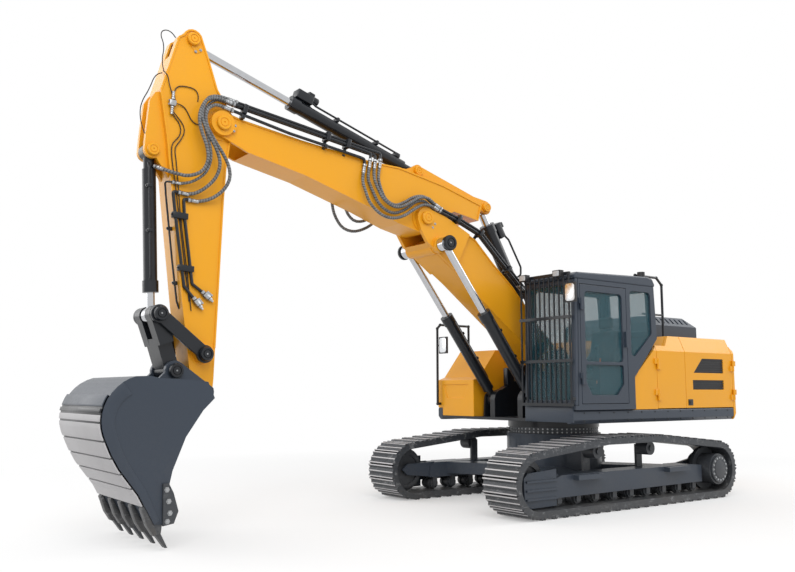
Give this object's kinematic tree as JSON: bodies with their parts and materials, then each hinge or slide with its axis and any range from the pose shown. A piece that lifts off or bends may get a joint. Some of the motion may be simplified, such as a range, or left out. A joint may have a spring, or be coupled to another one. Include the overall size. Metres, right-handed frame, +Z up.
{
  "type": "crawler excavator",
  "caption": "Crawler excavator with a two-piece boom, stick, bucket and linkage, a guarded cab, opening doors and hood, and fixed tracks.",
  "frame": {"origin": "swing axis at ground level", "axes": "+X forward, +Y to the machine's left, +Z up"},
  "size_m": [10.0396, 3.155, 5.7025],
  "materials": {
    "yellow_paint": "satin",
    "slate_paint": "satin",
    "dark_steel": "rough",
    "black_paint": "satin",
    "bright_steel": "satin",
    "chrome": "polished",
    "glass": "clear",
    "seat_cloth": "woven",
    "black_plastic": "matte"
  },
  "bodies": {
    "undercarriage": {"carbody": "dark_steel", "swing_bearing": "bright_steel", "track_frame_left": "dark_steel", "track_frame_right": "dark_steel", "track_left": "dark_steel", "track_right": "dark_steel", "idlers": "dark_steel", "sprockets": "dark_steel", "track_rollers": "dark_steel", "carrier_rollers": "dark_steel"},
    "upper": {"main_frame": "black_paint", "side_sills": "slate_paint", "counterweight": "yellow_paint", "engine": "bright_steel", "cab_floor": "slate_paint", "cab_front": "slate_paint", "cab_right_wall": "slate_paint", "cab_rear_wall": "slate_paint", "cab_left_frame": "slate_paint", "cab_roof": "slate_paint", "cab_glass": "glass", "front_guard": "black_paint", "seat": "seat_cloth", "consoles": "black_plastic", "body_panels": "yellow_paint", "right_tanks": "yellow_paint", "tool_box": "yellow_paint", "handrails": "black_paint", "cab_fittings": "black_plastic"},
    "cab_door": {"cab_door": "slate_paint", "door_glass": "glass"},
    "engine_hood": {"engine_hood": "slate_paint"},
    "left_front_door": {"left_front_door": "yellow_paint"},
    "left_rear_door": {"left_rear_door": "yellow_paint", "left_grilles": "black_plastic"},
    "pump_door": {"pump_door": "yellow_paint", "pump_grilles": "black_plastic"},
    "base_boom": {"base_boom": "yellow_paint"},
    "front_boom": {"front_boom": "yellow_paint"},
    "stick": {"stick": "yellow_paint"},
    "bucket": {"bucket": "slate_paint", "bucket_teeth": "dark_steel"},
    "side_links": {"side_links": "black_paint"},
    "bucket_link": {"bucket_link": "black_paint"},
    "boom_barrels": {"boom_barrels": "black_paint"},
    "boom_rods": {"boom_rods": "chrome"},
    "adjust_barrel": {"adjust_barrel": "black_paint"},
    "adjust_rod": {"adjust_rod": "chrome"},
    "arm_barrel": {"arm_barrel": "black_paint"},
    "arm_rod": {"arm_rod": "chrome"},
    "bucket_barrel": {"bucket_barrel": "black_paint"},
    "bucket_rod": {"bucket_rod": "chrome"}
  },
  "joints": [
    {"name": "swing", "type": "hinge", "parent": "undercarriage", "child": "upper", "pos_m": [0, 0, 1.05], "axis": [0, 0, 1], "continuous": true},
    {"name": "boom", "type": "hinge", "parent": "upper", "child": "base_boom", "pos_m": [0.15, 0, 2.02], "axis": [0, -1, 0], "range_deg": [-46, 28]},
    {"name": "front_boom", "type": "hinge", "parent": "base_boom", "child": "front_boom", "pos_m": [2.65956, 0, 3.89057], "axis": [0, 1, 0], "range_deg": [-4, 48]},
    {"name": "stick", "type": "hinge", "parent": "front_boom", "child": "stick", "pos_m": [5.62734, 0, 4.64429], "axis": [0, 1, 0], "range_deg": [-74, 20]},
    {"name": "bucket", "type": "hinge", "parent": "stick", "child": "bucket", "pos_m": [5.78568, 0, 1.56135], "axis": [0, -1, 0], "range_deg": [-140, 20]},
    {"name": "side_links", "type": "hinge", "parent": "stick", "child": "side_links", "pos_m": [5.78022, 0, 1.97962], "axis": [0, -1, 0], "range_deg": [-88.23, 12.63]},
    {"name": "bucket_link", "type": "hinge", "parent": "side_links", "child": "bucket_link", "pos_m": [6.30999, 0, 2.39952], "axis": [0, -1, 0], "range_deg": [-7.38, 51.48]},
    {"name": "boom_barrels", "type": "hinge", "parent": "upper", "child": "boom_barrels", "pos_m": [0.83, 0, 1.45], "axis": [0, -1, 0], "range_deg": [-47.9, 29.17]},
    {"name": "boom_rods", "type": "slide", "parent": "boom_barrels", "child": "boom_rods", "axis": [0.6124, 0, 0.7906], "range_m": [-0.655, 0.399]},
    {"name": "adjust_barrel", "type": "hinge", "parent": "base_boom", "child": "adjust_barrel", "pos_m": [0.5902, 0, 2.7597], "axis": [0, 1, 0], "range_deg": [-0.17, 1.8]},
    {"name": "adjust_rod", "type": "slide", "parent": "adjust_barrel", "child": "adjust_rod", "axis": [0.5075, 0, 0.8617], "range_m": [-0.087, 1.024]},
    {"name": "arm_barrel", "type": "hinge", "parent": "front_boom", "child": "arm_barrel", "pos_m": [2.68905, 0, 4.56663], "axis": [0, 1, 0], "range_deg": [-5.44, 1.49]},
    {"name": "arm_rod", "type": "slide", "parent": "arm_barrel", "child": "arm_rod", "axis": [0.9558, 0, 0.294], "range_m": [-1.179, 0.32]},
    {"name": "bucket_barrel", "type": "hinge", "parent": "stick", "child": "bucket_barrel", "pos_m": [6.40184, 0, 4.22546], "axis": [0, 1, 0], "range_deg": [-1.88, 0.29]},
    {"name": "bucket_rod", "type": "slide", "parent": "bucket_barrel", "child": "bucket_rod", "axis": [-0.0502, 0, -0.9987], "range_m": [-0.136, 0.945]},
    {"name": "cab_door", "type": "hinge", "parent": "upper", "child": "cab_door", "pos_m": [0.959, 1.452, 2.2], "axis": [0, 0, -1], "range_deg": [0, 85]},
    {"name": "engine_hood", "type": "hinge", "parent": "upper", "child": "engine_hood", "pos_m": [-2.472, 0, 2.412], "axis": [0, -1, 0], "range_deg": [0, 60]},
    {"name": "left_front_door", "type": "hinge", "parent": "upper", "child": "left_front_door", "pos_m": [-0.7, 1.417, 1.8], "axis": [0, 0, -1], "range_deg": [0, 90]},
    {"name": "left_rear_door", "type": "hinge", "parent": "upper", "child": "left_rear_door", "pos_m": [-2.606, 1.417, 1.8], "axis": [0, 0, 1], "range_deg": [0, 90]},
    {"name": "pump_door", "type": "hinge", "parent": "upper", "child": "pump_door", "pos_m": [-2.606, -1.417, 1.8], "axis": [0, 0, -1], "range_deg": [0, 90]}
  ],
  "couplings": [
    {"joint": "side_links", "follows": "bucket", "ratio": 0.63007},
    {"joint": "bucket_link", "follows": "bucket", "ratio": -0.36751},
    {"joint": "boom_barrels", "follows": "boom", "ratio": 1.0408},
    {"joint": "boom_rods", "follows": "boom", "m_per_rad": 0.81416},
    {"joint": "adjust_barrel", "follows": "front_boom", "ratio": 0.03694},
    {"joint": "adjust_rod", "follows": "front_boom", "m_per_rad": 1.221},
    {"joint": "arm_barrel", "follows": "stick", "ratio": 0.0732},
    {"joint": "arm_rod", "follows": "stick", "m_per_rad": 0.91192},
    {"joint": "bucket_barrel", "follows": "bucket", "ratio": 0.01323},
    {"joint": "bucket_rod", "follows": "bucket", "m_per_rad": -0.3862}
  ]
}
